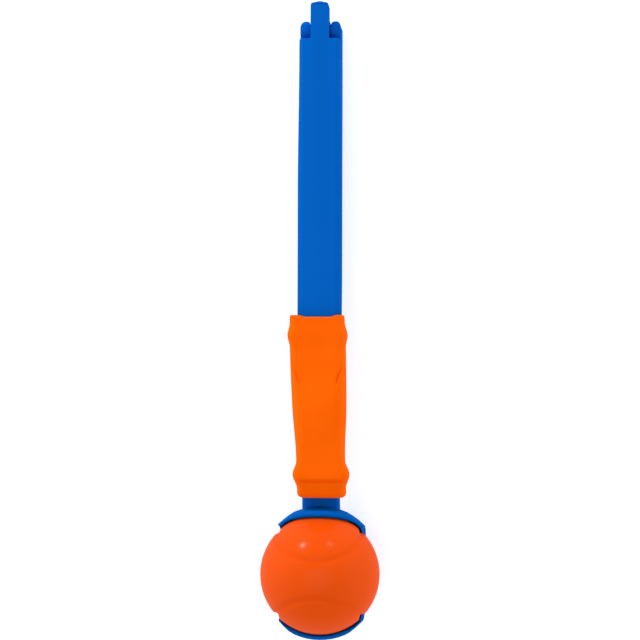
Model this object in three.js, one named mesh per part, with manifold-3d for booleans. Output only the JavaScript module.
// A dog ball thrower that folds in half: a handle with a rubber grip, a throwing arm that ends in a
// ball cup, the pin that joins them, and the ball.
// Millimetres. The thrower is built round its fold: the pin's axis is X, the arm runs towards -Y, and
// the mouth of the cup faces +Z. The whole of it is then laid down on its back, with the cup and the
// fold end on one floor.

import * as THREE from "three";
import { mergeVertices } from "three/addons/utils/BufferGeometryUtils.js";
import Module from "manifold-3d";

const wasm = await Module();
wasm.setup();

// Fold: pin, knuckles and the gaps between what turns
const pinRadius = 1.6;
const pinInset = 0.25;
const pinBevel = 0.35;
const pinRunGap = 0.08;
const pinPressGap = 0.04;
const knuckleRadius = 5.35;
const earWidth = 5.4;
const slotGap = 0.6;
const bossRadius = 4.4;
const bossRunGap = 0.3;
const foldGap = 0.3;
const seatGap = 0.2;

// Tongue: the stop that swings into the arm when the thrower opens
const tongueWidth = 9.6;
const tongueReach = 14.2;
const tongueCorner = 2.2;
const tongueCrown = 0.6;
const tongueNose = 1.4;

// Handle bar: a channel with its flat face outwards and its ribs inside
const barDepth = 13;
const barHalfWidthAtFold = 10.85;
const barHalfWidth = 11.6;
const barSwellLength = 85;
const barFaceBevelAtFold = 1.9;
const barFaceBevel = 2.9;
const barBevelDrop = 2.4;
const barDraft = 0.3;
const barWall = 2.3;
const barGapToArm = 0.35;
const barRibThickness = 1.5;
const barRibSpacing = 23.5;
const barRibRecess = 1.2;
const barEndBlock = 9;

// Grip: a rubber sleeve with a guard swelling, a waist and a pommel swelling
const gripStart = 151.9;
const gripLength = 96.2;
const gripRubber = 2.6;
const gripFit = 0.25;
const gripPalmShare = 1 / 6;
const gripWaistShare = 3 / 4;
const gripCollarHalfWidth = 14.4;
const gripPalmHalfWidth = 14.75;
const gripMiddleHalfWidth = 14.3;
const gripWaistHalfWidth = 12.95;
const gripLeanAtCollar = -1.3;
const gripLeanAtButt = 1.3;
const gripGuardSwell = 1.15;
const gripGuardPlace = 10.6;
const gripGuardReach = 6.4;
const gripPommelSwell = 2.1;
const gripPommelRise = 0.9;
const gripPommelInset = 12.2;
const gripPommelReach = 7.4;
const gripFrontHeight = 4.2;
const gripPalmHeight = 6.2;
const gripFaceHalfWidth = 10.2;
const gripScoopedFaceHalfWidth = 8.3;
const gripScoopStart = 25;
const gripScoopInset = 17.2;
const gripCollarStep = 0.9;
const gripCollarLength = 8.9;
const gripCrown = 0.3;
const gripMouthRound = 0.9;
const gripButtRound = 2.6;
const gripButtDrop = 2.4;
const gripCornerPower = 2.5;
const gripScoopCornerPower = 1.2;
const gripUnderPower = 3;
const gripNotchDepth = 1;
const coreEndHalfWidth = 10.1;
const coreEndWall = 3.2;

// Throwing arm: a channel with its web towards the handle
const armDepth = 13;
const armHalfWidth = 10.85;
const armNeckHalfWidth = 9.8;
const armTaperStart = 110;
const armWall = 2.3;
const armWebThickness = 2.3;
const armEdgeBevel = 1;
const armTonguePocket = 17.5;
const armRibThickness = 1.5;
const armRibSpacing = 26;
const armRibRecess = 1.2;
const armEndBlock = 10;
const armFillet = 2.4;
const armGussetRadius = 25;
const earCornerOuter = 3;
const earCornerInner = 2.2;
const earDomeShare = 1.4;

// Ball cup: a band of a hollow sphere, open at the front and at both sides
const cupGapToGrip = 9.2;
const cupRise = 2;
const cupWall = 2.4;
const cupNeckWall = 3.5;
const cupHalfWidth = 21.9;
const cupUpperLip = 5;
const cupLowerLip = 3.6;
const cupLipCorner = 4.4;
const cupLipCornerPower = 6;
const cupEdgeRound = 0.8;
const cupEdgePower = 4;
const cupRimShare = 0.3;
const cupBallGap = 0.5;

// Ball with the groove of a two-lobed seam
const ballRadius = 31.75;
const seamWidth = 4;
const seamDepth = 1.1;
const seamLobeShare = 0.655;
const seamTurnDegrees = 45;

// Fineness of the curved faces
const pinSides = 40;
const knuckleSides = 48;
const cupArcSteps = 34;
const cupWidthSteps = 14;
const ballSteps = 44;
const seamSteps = 104;
const seamSides = 10;
const gripRings = 34;
const gripSideSteps = 176;
const gripCornerSteps = 6;
const tongueCornerSteps = 8;
const armSideSteps = 5;
const overrun = 2;

// Sizes that follow from the ones above
const outerEarX = tongueWidth / 2 + slotGap + earWidth;
const innerEarX = tongueWidth / 2 + slotGap;
const shoulder = knuckleRadius + foldGap;
const armTop = -barGapToArm;
const webUnder = armTop - armWebThickness;
const tongueUnder = -webUnder + seatGap;
const gripEnd = gripStart + gripLength;
const gripUnder = foldGap;
const coreUnder = gripUnder + gripRubber + gripFit;
const coreEnd = gripEnd - coreEndWall - gripFit;
const cupReach = gripEnd + cupGapToGrip + ballRadius;
const cupInner = ballRadius + cupBallGap;
const cupOuter = cupInner + cupWall;

// Turns a closed geometry into a solid. One whose faces point inwards is turned round first.
function solid(geometry) {
  geometry.deleteAttribute("normal");
  geometry.deleteAttribute("uv");
  const merged = mergeVertices(geometry, 1e-4);
  const places = merged.attributes.position.array;
  const corners = new Uint32Array(merged.index.array);
  const made = new wasm.Manifold(
    new wasm.Mesh({ numProp: 3, vertProperties: places, triVerts: corners }),
  );
  if (made.volume() >= 0) return made;
  for (let i = 0; i < corners.length; i += 3)
    [corners[i + 1], corners[i + 2]] = [corners[i + 2], corners[i + 1]];
  return new wasm.Manifold(
    new wasm.Mesh({ numProp: 3, vertProperties: places, triVerts: corners }),
  );
}

// Turns a solid back into a geometry for a mesh.
function geometryOf(made) {
  const mesh = made.getMesh();
  const geometry = new THREE.BufferGeometry();
  geometry.setAttribute(
    "position",
    new THREE.BufferAttribute(mesh.vertProperties, mesh.numProp),
  );
  geometry.setIndex(new THREE.BufferAttribute(mesh.triVerts, 1));
  geometry.computeVertexNormals();
  return geometry;
}

// The triangles that close a plane outline.
function planeCap(outline) {
  return THREE.ShapeUtils.triangulateShape(outline, []);
}

// The triangles that close a thin band's end, from each point to the one across the band's wall.
function bandCap(count) {
  const corners = [];
  for (let k = 0; k + 1 < count / 2; k += 1) {
    const across = count - 1 - k;
    corners.push([k, k + 1, across - 1], [k, across - 1, across]);
  }
  return corners;
}

// A closed surface from a grid of points: every ring closes on itself, and the first and last are
// capped.
function ringSolid(rings, caps) {
  const count = rings[0].length;
  const places = rings.flat().flatMap((p) => [p.x, p.y, p.z]);
  const corners = [];
  for (let i = 0; i + 1 < rings.length; i += 1) {
    for (let k = 0; k < count; k += 1) {
      const a = i * count + k;
      const b = i * count + ((k + 1) % count);
      corners.push(a, b, b + count, a, b + count, a + count);
    }
  }
  const last = (rings.length - 1) * count;
  caps[0].forEach(([a, b, c]) => corners.push(a, c, b));
  caps[1].forEach(([a, b, c]) => corners.push(last + a, last + b, last + c));
  const geometry = new THREE.BufferGeometry();
  geometry.setAttribute(
    "position",
    new THREE.Float32BufferAttribute(places, 3),
  );
  geometry.setIndex(corners);
  return solid(geometry);
}

// A solid lofted along the arm: outlineAt(s) gives the section's points (x, z) at the distance s
// from the pin.
function loft(stations, outlineAt) {
  const outlines = stations.map(outlineAt);
  const rings = outlines.map((outline, i) =>
    outline.map((p) => new THREE.Vector3(p.x, -stations[i], p.y)),
  );
  return ringSolid(rings, [planeCap(outlines[0]), planeCap(outlines.at(-1))]);
}

// Evenly spaced numbers from one end to the other, both included.
function spread(from, to, steps) {
  return Array.from(
    { length: steps + 1 },
    (_, i) => from + ((to - from) * i) / steps,
  );
}

// A block between two corners.
function block(x0, x1, y0, y1, z0, z1) {
  const geometry = new THREE.BoxGeometry(x1 - x0, y1 - y0, z1 - z0);
  geometry.translate((x0 + x1) / 2, (y0 + y1) / 2, (z0 + z1) / 2);
  return solid(geometry);
}

// A round bar along the pin's axis, from x0 to x1.
function crossBar(radius, x0, x1, sides) {
  const geometry = new THREE.CylinderGeometry(radius, radius, x1 - x0, sides);
  geometry.rotateZ(Math.PI / 2);
  geometry.translate((x0 + x1) / 2, 0, 0);
  return solid(geometry);
}

// An outline seen from above, drawn in X and Y, raised from z0 to z1.
function raised(shape, z0, z1) {
  const geometry = new THREE.ExtrudeGeometry(shape, {
    depth: z1 - z0,
    bevelEnabled: false,
    curveSegments: tongueCornerSteps,
  });
  geometry.translate(0, 0, z0);
  return solid(geometry);
}

// Moves smoothly from one value to another as s goes from start to end.
function eased(s, start, end, from, to) {
  return from + (to - from) * THREE.MathUtils.smoothstep(s, start, end);
}

// A smooth hump of a given height round a place, gone at its reach on either side.
function hump(s, place, reach, height) {
  const away = Math.abs(s - place) / reach;
  return away < 1 ? (height * (1 + Math.cos(Math.PI * away))) / 2 : 0;
}

// The bar's half width at the distance s from the pin. Inside the grip the bar draws in to its end.
function barHalfWidthAt(s) {
  if (s <= gripStart)
    return eased(
      s,
      shoulder,
      shoulder + barSwellLength,
      barHalfWidthAtFold,
      barHalfWidth,
    );
  return eased(s, gripStart, coreEnd, barHalfWidth, coreEndHalfWidth);
}

// The bar's section: a flat outer face, two bevels, and sides that widen a little towards the face.
function barOutline(s, under, grow) {
  const half = barHalfWidthAt(s) + grow;
  const bevel = eased(
    s,
    shoulder,
    shoulder + barSwellLength,
    barFaceBevelAtFold,
    barFaceBevel,
  );
  const top = barDepth + grow;
  return [
    new THREE.Vector2(-half + barDraft, under),
    new THREE.Vector2(half - barDraft, under),
    new THREE.Vector2(half, top - barBevelDrop),
    new THREE.Vector2(half - bevel, top),
    new THREE.Vector2(-half + bevel, top),
    new THREE.Vector2(-half, top - barBevelDrop),
  ];
}

// The hollow of a channel, split by a rib along its middle and by ribs across it.
function ribbedHollow(
  hollow,
  from,
  to,
  spacing,
  thickness,
  ribFrom,
  ribTo,
  halfWidth,
) {
  let cells = hollow.subtract(
    block(
      -thickness / 2,
      thickness / 2,
      -to - overrun,
      -from + overrun,
      ribFrom,
      ribTo,
    ),
  );
  const ribs = Math.round((to - from) / spacing);
  for (let i = 1; i < ribs; i += 1) {
    const s = from + ((to - from) * i) / ribs;
    cells = cells.subtract(
      block(
        -halfWidth,
        halfWidth,
        -s - thickness / 2,
        -s + thickness / 2,
        ribFrom,
        ribTo,
      ),
    );
  }
  return cells;
}

// The tongue's outline from above: straight sides, a slightly domed end and two rounded corners.
function tongueShape(back) {
  const half = tongueWidth / 2;
  const shape = new THREE.Shape();
  shape.moveTo(-half, back);
  shape.lineTo(half, back);
  shape.lineTo(half, tongueReach - tongueCrown - tongueCorner);
  shape.quadraticCurveTo(
    half,
    tongueReach - tongueCrown,
    half - tongueCorner,
    tongueReach - tongueCrown,
  );
  shape.quadraticCurveTo(
    0,
    tongueReach + tongueCrown,
    -half + tongueCorner,
    tongueReach - tongueCrown,
  );
  shape.quadraticCurveTo(
    -half,
    tongueReach - tongueCrown,
    -half,
    tongueReach - tongueCrown - tongueCorner,
  );
  shape.closePath();
  return shape;
}

// The handle bar, with its tongue, the lug that turns on the pin, and the core inside the grip.
function makeHandleBar() {
  const freeStations = [
    ...spread(shoulder, shoulder + barSwellLength, 10),
    gripStart,
  ];
  const coreStations = spread(gripStart - gripNotchDepth, coreEnd, 6);
  let bar = loft(freeStations, (s) => barOutline(s, 0, 0)).add(
    loft(coreStations, (s) => barOutline(s, coreUnder, 0)),
  );

  // Ribbed hollow, open towards the arm
  const hollowFrom = shoulder + barWall;
  const hollowTo = coreEnd - barEndBlock;
  const hollowTop = barDepth - barWall;
  const hollow = loft(spread(hollowFrom, hollowTo, 12), (s) => {
    const half = barHalfWidthAt(s) - barWall;
    return [
      new THREE.Vector2(-half + barDraft, -overrun),
      new THREE.Vector2(half - barDraft, -overrun),
      new THREE.Vector2(half - barDraft, hollowTop - barBevelDrop),
      new THREE.Vector2(half - barBevelDrop, hollowTop),
      new THREE.Vector2(-half + barBevelDrop, hollowTop),
      new THREE.Vector2(-half + barDraft, hollowTop - barBevelDrop),
    ];
  });
  bar = bar.subtract(
    ribbedHollow(
      hollow,
      hollowFrom,
      hollowTo,
      barRibSpacing,
      barRibThickness,
      barRibRecess,
      barDepth,
      barHalfWidth,
    ),
  );

  // Tongue with its sloped nose, and the lug under it
  const half = tongueWidth / 2;
  const nose = new THREE.Shape();
  nose.moveTo(-shoulder - barWall, 0);
  nose.lineTo(knuckleRadius, 0);
  nose.lineTo(knuckleRadius, tongueUnder);
  nose.lineTo(tongueReach + overrun, tongueUnder);
  nose.lineTo(tongueReach + overrun, barDepth - tongueNose - overrun);
  nose.lineTo(tongueReach - tongueNose, barDepth);
  nose.lineTo(-shoulder - barWall, barDepth);
  nose.closePath();
  const side = new THREE.ExtrudeGeometry(nose, {
    depth: tongueWidth + overrun,
    bevelEnabled: false,
  });
  side.translate(0, 0, -(tongueWidth + overrun) / 2);
  side.rotateX(Math.PI / 2);
  side.rotateZ(Math.PI / 2);
  const tongue = raised(
    tongueShape(-shoulder - barWall),
    0,
    barDepth,
  ).intersect(solid(side));
  const lug = crossBar(knuckleRadius, -half, half, knuckleSides);
  const bosses = crossBar(
    bossRadius,
    -innerEarX + bossRunGap,
    innerEarX - bossRunGap,
    knuckleSides,
  );
  return bar
    .add(tongue)
    .add(lug)
    .add(bosses)
    .subtract(
      crossBar(pinRadius + pinRunGap, -outerEarX, outerEarX, pinSides),
    );
}

// The grip's half width: collar, palm, middle, waist and butt joined by one smooth curve, with two
// swellings.
const gripSide = new THREE.SplineCurve([
  new THREE.Vector2(0, gripCollarHalfWidth),
  new THREE.Vector2(gripLength * gripPalmShare, gripPalmHalfWidth),
  new THREE.Vector2(gripLength / 2, gripMiddleHalfWidth),
  new THREE.Vector2(gripLength * gripWaistShare, gripWaistHalfWidth),
  new THREE.Vector2(gripLength, gripWaistHalfWidth),
]);

const gripSidePoints = gripSide.getPoints(gripSideSteps);

function gripHalfWidthAt(g) {
  const after = gripSidePoints.findIndex((p) => p.x >= g);
  const b = gripSidePoints.at(after);
  const a = gripSidePoints.at(after < 0 ? after : after - 1);
  const base = b.x > a.x ? a.y + ((b.y - a.y) * (g - a.x)) / (b.x - a.x) : b.y;
  const swell =
    hump(g, gripGuardPlace, gripGuardReach, gripGuardSwell) +
    hump(
      g,
      gripLength - gripPommelInset,
      gripPommelReach,
      gripPommelSwell,
    );
  return base + swell;
}

// How far the grip's outline has drawn in at its two ends, where its edges are rounded.
function gripEndInset(g) {
  const near = THREE.MathUtils.clamp(g / gripMouthRound, 0, 1);
  const far = THREE.MathUtils.clamp((gripLength - g) / gripButtRound, 0, 1);
  const inset = (share) => 1 - Math.sqrt(1 - (1 - share) ** 2);
  return gripMouthRound * inset(near) + gripButtRound * inset(far);
}

// The grip's section at the distance g from its upper edge: flat front with a slight crown, corners
// that turn hollow along the finger scoops, and a flat underside towards the arm. The grip leans a
// little across the bar.
function gripOutline(g) {
  const inset = gripEndInset(g);
  const half = gripHalfWidthAt(g) - inset;
  const scoopEnd = gripLength - gripScoopInset;
  const scoop = hump(
    g,
    (gripScoopStart + scoopEnd) / 2,
    (scoopEnd - gripScoopStart) / 2,
    1,
  );
  const deep = Math.sqrt(scoop);
  const faceShare =
    (gripFaceHalfWidth +
      (gripScoopedFaceHalfWidth - gripFaceHalfWidth) * deep) /
    gripPalmHalfWidth;
  const face = half * faceShare;
  const collar = gripLength - gripCollarLength;
  const rise =
    eased(
      g,
      gripLength * gripPalmShare,
      gripLength / 2,
      gripFrontHeight,
      gripPalmHeight,
    ) -
    eased(g, gripLength / 2, collar, 0, gripPalmHeight - gripFrontHeight) +
    hump(g, gripGuardPlace, gripGuardReach, gripGuardSwell) +
    hump(g, gripLength - gripPommelInset, gripPommelReach, gripPommelRise) -
    (g > collar ? gripCollarStep : 0) -
    eased(g, collar, gripLength, 0, gripButtDrop);
  const top = barDepth + rise - inset;
  const widest = (top + gripUnder) / 2;
  const power = eased(deep, 0, 1, gripCornerPower, gripScoopCornerPower);
  const front = [];
  for (let i = 0; i <= gripCornerSteps; i += 1) {
    const turn = (Math.PI / 2) * (i / gripCornerSteps);
    front.push(
      new THREE.Vector2(
        face + (half - face) * Math.cos(turn) ** (2 / power),
        widest + (top - widest) * Math.sin(turn) ** (2 / power),
      ),
    );
  }
  const back = [];
  const underHalf = half * (gripFaceHalfWidth / gripPalmHalfWidth);
  const under = gripUnder + inset / 2;
  for (let i = 0; i < gripCornerSteps; i += 1) {
    const turn = (Math.PI / 2) * (i / gripCornerSteps);
    back.push(
      new THREE.Vector2(
        underHalf + (half - underHalf) * Math.sin(turn) ** (2 / gripUnderPower),
        widest - (widest - under) * Math.cos(turn) ** (2 / gripUnderPower),
      ),
    );
  }
  const right = [...back, ...front];
  const crown = new THREE.Vector2(0, top + gripCrown);
  const left = right.map((p) => new THREE.Vector2(-p.x, p.y)).reverse();
  const leanShare = THREE.MathUtils.clamp(g / gripLength, 0, 1);
  const lean = THREE.MathUtils.lerp(gripLeanAtCollar, gripLeanAtButt, leanShare);
  return [...right, crown, ...left].map((p) => new THREE.Vector2(p.x + lean, p.y));
}

// The rubber grip: closed at the butt, open where the bar enters.
function makeGripSleeve() {
  const rings = [
    0,
    gripMouthRound / 3,
    ...spread(gripMouthRound, gripLength - gripCollarLength, gripRings),
    gripLength - gripCollarLength + gripCrown,
    gripLength - gripCollarLength / 2,
    ...spread(gripLength - gripButtRound, gripLength, 5),
  ];
  const stations = rings.map((g) => gripStart + g);
  const sleeve = loft(stations, (s) => gripOutline(s - gripStart));
  const bore = loft(spread(gripStart - overrun, coreEnd + gripFit, 6), (s) =>
    barOutline(Math.min(s, coreEnd), coreUnder - gripFit, gripFit),
  );
  const notch = block(
    -gripFaceHalfWidth,
    gripFaceHalfWidth,
    -gripStart - gripNotchDepth,
    -gripStart + overrun,
    barDepth,
    barDepth + gripFrontHeight + overrun,
  );
  return sleeve.subtract(bore).subtract(notch);
}

// A round fillet between a straight side and the cup's outer sphere, cut at the distance off from the
// sphere's centre. It gives where the fillet starts, where it touches the sphere, and how far it has
// left the side at the distance s from the pin. Past the touch it dives into the wall.
function filletToCup(side, radius, off) {
  const round = Math.sqrt(cupOuter ** 2 - off ** 2);
  const centre = side + radius;
  const start = cupReach - Math.sqrt((round + radius) ** 2 - centre ** 2);
  const touch = cupReach - ((cupReach - start) * round) / (round + radius);
  const leftAt = (s) => {
    const along = THREE.MathUtils.clamp(s, start, touch) - start;
    const dive = Math.max(s - touch, 0);
    return radius - Math.sqrt(radius ** 2 - along ** 2) - dive;
  };
  return { start, touch, leftAt };
}

const neckFillet = filletToCup(armNeckHalfWidth, armFillet, cupRise);
const gusset = filletToCup(armDepth + cupRise, armGussetRadius, 0);

// The arm's half width at the distance s from the pin and the height z, with a fillet where it meets
// the cup.
function armHalfWidthAt(s, z) {
  const straight = eased(
    s,
    armTaperStart,
    neckFillet.start,
    armHalfWidth,
    armNeckHalfWidth,
  );
  return straight + filletToCup(armNeckHalfWidth, armFillet, cupRise - z).leftAt(s);
}

// The arm's lowest edge at the distance s, which curves down to the back of the cup.
function armUnderAt(s) {
  return -armDepth - gusset.leftAt(s);
}

// The outline of the arm's fold end from above: two ears with domed ends.
function earShape(sideSign) {
  const inner = innerEarX;
  const outer = outerEarX;
  const back = -armTonguePocket;
  const top = knuckleRadius;
  const shape = new THREE.Shape();
  shape.moveTo(sideSign * inner, back);
  shape.lineTo(sideSign * outer, back);
  shape.lineTo(sideSign * outer, top - earDomeShare * earCornerOuter);
  shape.absellipse(
    sideSign * (outer - earCornerOuter),
    top - earDomeShare * earCornerOuter,
    earCornerOuter,
    earDomeShare * earCornerOuter,
    sideSign > 0 ? 0 : Math.PI,
    Math.PI / 2,
    sideSign < 0,
  );
  shape.absellipse(
    sideSign * (inner + earCornerInner),
    top - earDomeShare * earCornerInner,
    earCornerInner,
    earDomeShare * earCornerInner,
    Math.PI / 2,
    sideSign > 0 ? Math.PI : 0,
    sideSign < 0,
  );
  shape.closePath();
  return shape;
}

// The band of the cup: rings across its width, each a closed C of inner face, lip, outer face and lip.
function cupBand() {
  const rings = spread(-1, 1, cupWidthSteps).map((share) => {
    const edge = Math.abs(share);
    const cornerDrop = cupLipCorner * edge ** cupLipCornerPower;
    const upperTip =
      -Math.asin(cupUpperLip / cupInner) * (1 - edge ** 2) +
      cornerDrop / cupOuter / 2;
    const lowerTip =
      Math.PI + Math.asin(cupLowerLip / cupInner) - cornerDrop / cupOuter;
    const rim = cupEdgeRound / cupInner;
    const arc = spread(upperTip + rim, lowerTip - rim, cupArcSteps);
    const near = [upperTip, ...arc, lowerTip].map((angle) => [angle, 0]);
    near[0][1] = cupRimShare;
    near.at(-1)[1] = cupRimShare;
    const far = near.map(([angle, through]) => [angle, 1 - through]).reverse();
    return [...near, ...far].map(([angle, through]) => {
      const x = share * cupHalfWidth;
      const wall =
        cupWall +
        (cupNeckWall - cupWall) * Math.max(Math.cos(angle), 0) ** 2 -
        (cupEdgeRound / 2) * edge ** cupEdgePower;
      const inner = new THREE.Vector3(
        x,
        Math.sqrt(cupInner ** 2 - x ** 2) * Math.cos(angle),
        -Math.sqrt(cupInner ** 2 - x ** 2) * Math.sin(angle),
      );
      return inner.multiplyScalar((cupInner + wall * through) / cupInner);
    });
  });
  const cap = bandCap(rings[0].length);
  return ringSolid(rings, [cap, cap]).translate([0, -cupReach, cupRise]);
}

// The throwing arm: ears, ribbed channel, neck and cup in one moulding.
function makeThrowingArm() {
  const stations = [
    -knuckleRadius - overrun,
    ...spread(armTonguePocket, armTaperStart, 3),
    ...spread(armTaperStart, gusset.start, 6).slice(1),
    ...spread(gusset.start, neckFillet.start, 4).slice(1),
    ...spread(neckFillet.start, neckFillet.touch, 5).slice(1),
    ...spread(neckFillet.touch, gusset.touch + cupWall, 9).slice(1),
  ];
  const outer = loft(stations, (s) => {
    const under = armUnderAt(s);
    const side = spread(under + armEdgeBevel, armTop - armEdgeBevel, armSideSteps).map(
      (z) => new THREE.Vector2(armHalfWidthAt(s, z), z),
    );
    const right = [
      new THREE.Vector2(side[0].x - armEdgeBevel, under),
      ...side,
      new THREE.Vector2(side.at(-1).x - armEdgeBevel, armTop),
    ];
    const left = right.map((p) => new THREE.Vector2(-p.x, p.y)).reverse();
    return [...right, ...left];
  });

  // Ribbed hollow, open away from the handle
  const hollowFrom = armTonguePocket + armWall;
  const hollowTo = neckFillet.start - armEndBlock;
  const hollow = loft(spread(hollowFrom, hollowTo, 14), (s) => {
    const half = armHalfWidthAt(s, armTop) - armWall;
    const low = armUnderAt(s) - overrun;
    return [
      new THREE.Vector2(-half, low),
      new THREE.Vector2(half, low),
      new THREE.Vector2(half - barDraft, webUnder),
      new THREE.Vector2(-half + barDraft, webUnder),
    ];
  });
  const ribs = ribbedHollow(
    hollow,
    hollowFrom,
    hollowTo,
    armRibSpacing,
    armRibThickness,
    -armDepth + armRibRecess,
    0,
    armHalfWidth,
  );

  // Pocket that the lug turns in and the tongue swings into
  const pocket = block(
    -innerEarX,
    innerEarX,
    -armTonguePocket,
    knuckleRadius + 2 * overrun,
    -armDepth - overrun,
    webUnder,
  ).add(
    block(
      -innerEarX,
      innerEarX,
      -shoulder - foldGap,
      knuckleRadius + 2 * overrun,
      webUnder - overrun,
      knuckleRadius,
    ),
  );

  // Fold end: the knuckles round the pin, and the ears' domed outline from above
  const knuckles = crossBar(
    knuckleRadius,
    -outerEarX,
    outerEarX,
    knuckleSides,
  );
  const ends = raised(
    earShape(1),
    -armDepth - overrun,
    knuckleRadius + overrun,
  ).add(
    raised(earShape(-1), -armDepth - overrun, knuckleRadius + overrun),
  );
  const foldEnd = outer
    .add(knuckles)
    .intersect(ends)
    .subtract(pocket);
  const beyond = block(
    -cupReach,
    cupReach,
    -armTonguePocket,
    cupReach,
    -cupReach,
    cupReach,
  );
  const cheekRoot = outer.subtract(beyond);

  // Web between the ears, which the tongue seats under
  const web = block(
    -innerEarX - overrun / 2,
    innerEarX + overrun / 2,
    -armTonguePocket - overrun / 2,
    -shoulder - foldGap,
    webUnder,
    armTop,
  );
  const ballSpace = new THREE.SphereGeometry(
    cupInner + cupWall / 2,
    ballSteps,
    ballSteps / 2,
  );
  ballSpace.translate(0, -cupReach, cupRise);
  return foldEnd
    .add(cheekRoot)
    .add(web)
    .subtract(ribs)
    .subtract(solid(ballSpace))
    .add(cupBand())
    .subtract(
      crossBar(pinRadius + pinPressGap, -cupReach, cupReach, pinSides),
    );
}

// The pin, a plain round bar with bevelled ends.
function makeHingePin() {
  const half = outerEarX - pinInset;
  const profile = [
    new THREE.Vector2(0, -half),
    new THREE.Vector2(pinRadius - pinBevel, -half),
    new THREE.Vector2(pinRadius, -half + pinBevel),
    new THREE.Vector2(pinRadius, half - pinBevel),
    new THREE.Vector2(pinRadius - pinBevel, half),
    new THREE.Vector2(0, half),
  ];
  const geometry = new THREE.LatheGeometry(profile, pinSides);
  geometry.rotateZ(Math.PI / 2);
  return solid(geometry);
}

// A point of the seam on a unit sphere: the closed line that goes twice up and twice down round it.
function seamPoint(turn) {
  const a = seamLobeShare;
  const b = 1 - seamLobeShare;
  const point = new THREE.Vector3(
    a * Math.cos(turn) + b * Math.cos(3 * turn),
    a * Math.sin(turn) - b * Math.sin(3 * turn),
    2 * Math.sqrt(a * b) * Math.sin(2 * turn),
  );
  return point.applyAxisAngle(
    new THREE.Vector3(0, 0, 1),
    THREE.MathUtils.degToRad(seamTurnDegrees),
  );
}

// The ball: a sphere with a round-bottomed groove cut along the seam.
function makeBall() {
  const cutter = ((seamWidth / 2) ** 2 + seamDepth ** 2) / (2 * seamDepth);
  const cutterPlace = ballRadius + cutter - seamDepth;
  const places = [];
  const corners = [];
  for (let i = 0; i < seamSteps; i += 1) {
    const turn = (2 * Math.PI * i) / seamSteps;
    const out = seamPoint(turn).normalize();
    const ahead = seamPoint(turn + Math.PI / seamSteps)
      .sub(seamPoint(turn - Math.PI / seamSteps))
      .normalize();
    const across = new THREE.Vector3().crossVectors(out, ahead).normalize();
    for (let k = 0; k < seamSides; k += 1) {
      const angle = (2 * Math.PI * (k + 0.5)) / seamSides;
      const place = out
        .clone()
        .multiplyScalar(cutterPlace + cutter * Math.cos(angle))
        .addScaledVector(across, cutter * Math.sin(angle));
      places.push(place.x, place.y, place.z);
      const next = ((i + 1) % seamSteps) * seamSides;
      const a = i * seamSides + k;
      const b = i * seamSides + ((k + 1) % seamSides);
      const c = next + ((k + 1) % seamSides);
      const d = next + k;
      corners.push(a, b, c, a, c, d);
    }
  }
  const groove = new THREE.BufferGeometry();
  groove.setAttribute("position", new THREE.Float32BufferAttribute(places, 3));
  groove.setIndex(corners);
  const sphere = new THREE.SphereGeometry(
    ballRadius,
    ballSteps,
    ballSteps / 2,
  );
  return solid(sphere)
    .subtract(solid(groove))
    .translate([0, -cupReach, cupRise]);
}

// Finishes, from the photographed colours
const bluePlastic = new THREE.MeshStandardMaterial({
  color: 0x0a55c4,
  roughness: 0.38,
  metalness: 0,
});
const orangeRubber = new THREE.MeshStandardMaterial({
  color: 0xff6a00,
  roughness: 0.6,
  metalness: 0,
});
const ballRubber = new THREE.MeshStandardMaterial({
  color: 0xf0500f,
  roughness: 0.5,
  metalness: 0,
});
const pinSteel = new THREE.MeshStandardMaterial({
  color: 0x9a9da0,
  roughness: 0.35,
  metalness: 1,
});

// Wraps a solid as a named mesh.
function piece(name, made, material) {
  const mesh = new THREE.Mesh(geometryOf(made), material);
  mesh.name = name;
  return mesh;
}

const thrower = new THREE.Group();
thrower.add(
  piece("throwing_arm", makeThrowingArm(), bluePlastic),
  piece("hinge_pin", makeHingePin(), pinSteel),
  piece("handle_bar", makeHandleBar(), bluePlastic),
  piece("grip_sleeve", makeGripSleeve(), orangeRubber),
  piece("ball", makeBall(), ballRubber),
);

// Lays the thrower on its back: the floor touches the cup's back and the fold end's lower corner.
const along = cupReach + knuckleRadius;
const above = cupRise + armDepth;
const floorSlope =
  Math.asin(cupOuter / Math.hypot(along, above)) - Math.atan2(above, along);
thrower.rotation.x = -floorSlope;

const part = new THREE.Group();
part.add(thrower);
const box = new THREE.Box3().setFromObject(part, true);
const middle = box.getCenter(new THREE.Vector3());
thrower.position.set(-middle.x, -middle.y, -box.min.z);

export default part;
